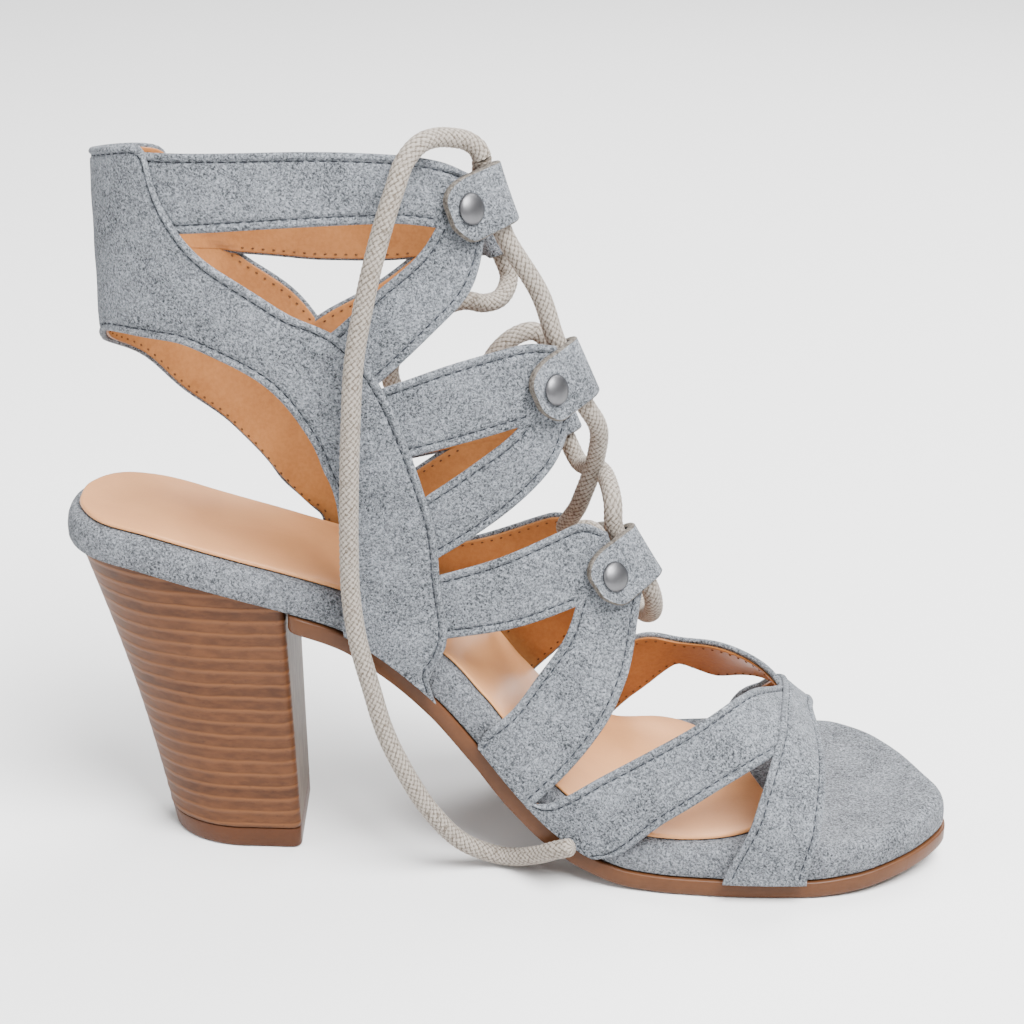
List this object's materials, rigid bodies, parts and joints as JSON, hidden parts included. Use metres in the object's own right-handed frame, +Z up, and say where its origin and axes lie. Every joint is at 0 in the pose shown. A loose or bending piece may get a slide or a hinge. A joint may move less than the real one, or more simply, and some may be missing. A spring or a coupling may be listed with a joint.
{
  "type": "caged heel sandal",
  "caption": "Left sandal: a grey suede strap cage with folded lace tabs and a round lace, on a wrapped footbed with a stacked block heel.",
  "frame": {"origin": "middle of the shoe's box, without the loose lace end, on the floor", "axes": "+X from heel to toe, +Y to the wearer's left, which is this shoe's outer side, +Z up"},
  "size_m": [0.232, 0.0892, 0.1961],
  "materials": {
    "grey_suede": "napped suede",
    "grey_suede_wrap": "napped suede",
    "tan_lining": "smooth lining leather",
    "tan_outsole": "satin tan",
    "stacked_leather": "stacked layers, satin",
    "brown_lift": "satin brown",
    "satin_nickel": "satin",
    "lace_cord": "braided round cord"
  },
  "bodies": {
    "root": {"outsole": "tan_outsole", "footbed": "grey_suede_wrap", "insole": "tan_lining", "heel_block": "stacked_leather", "heel_top_piece": "brown_lift", "upper": "grey_suede", "lace": "lace_cord", "lace_end": "lace_cord", "tab_top_inner": "grey_suede", "stud_top_inner": "satin_nickel", "tab_top_outer": "grey_suede", "stud_top_outer": "satin_nickel", "tab_middle_inner": "grey_suede", "stud_middle_inner": "satin_nickel", "tab_middle_outer": "grey_suede", "stud_middle_outer": "satin_nickel", "tab_lower_inner": "grey_suede", "stud_lower_inner": "satin_nickel", "tab_lower_outer": "grey_suede", "stud_lower_outer": "satin_nickel"}
  },
  "joints": []
}
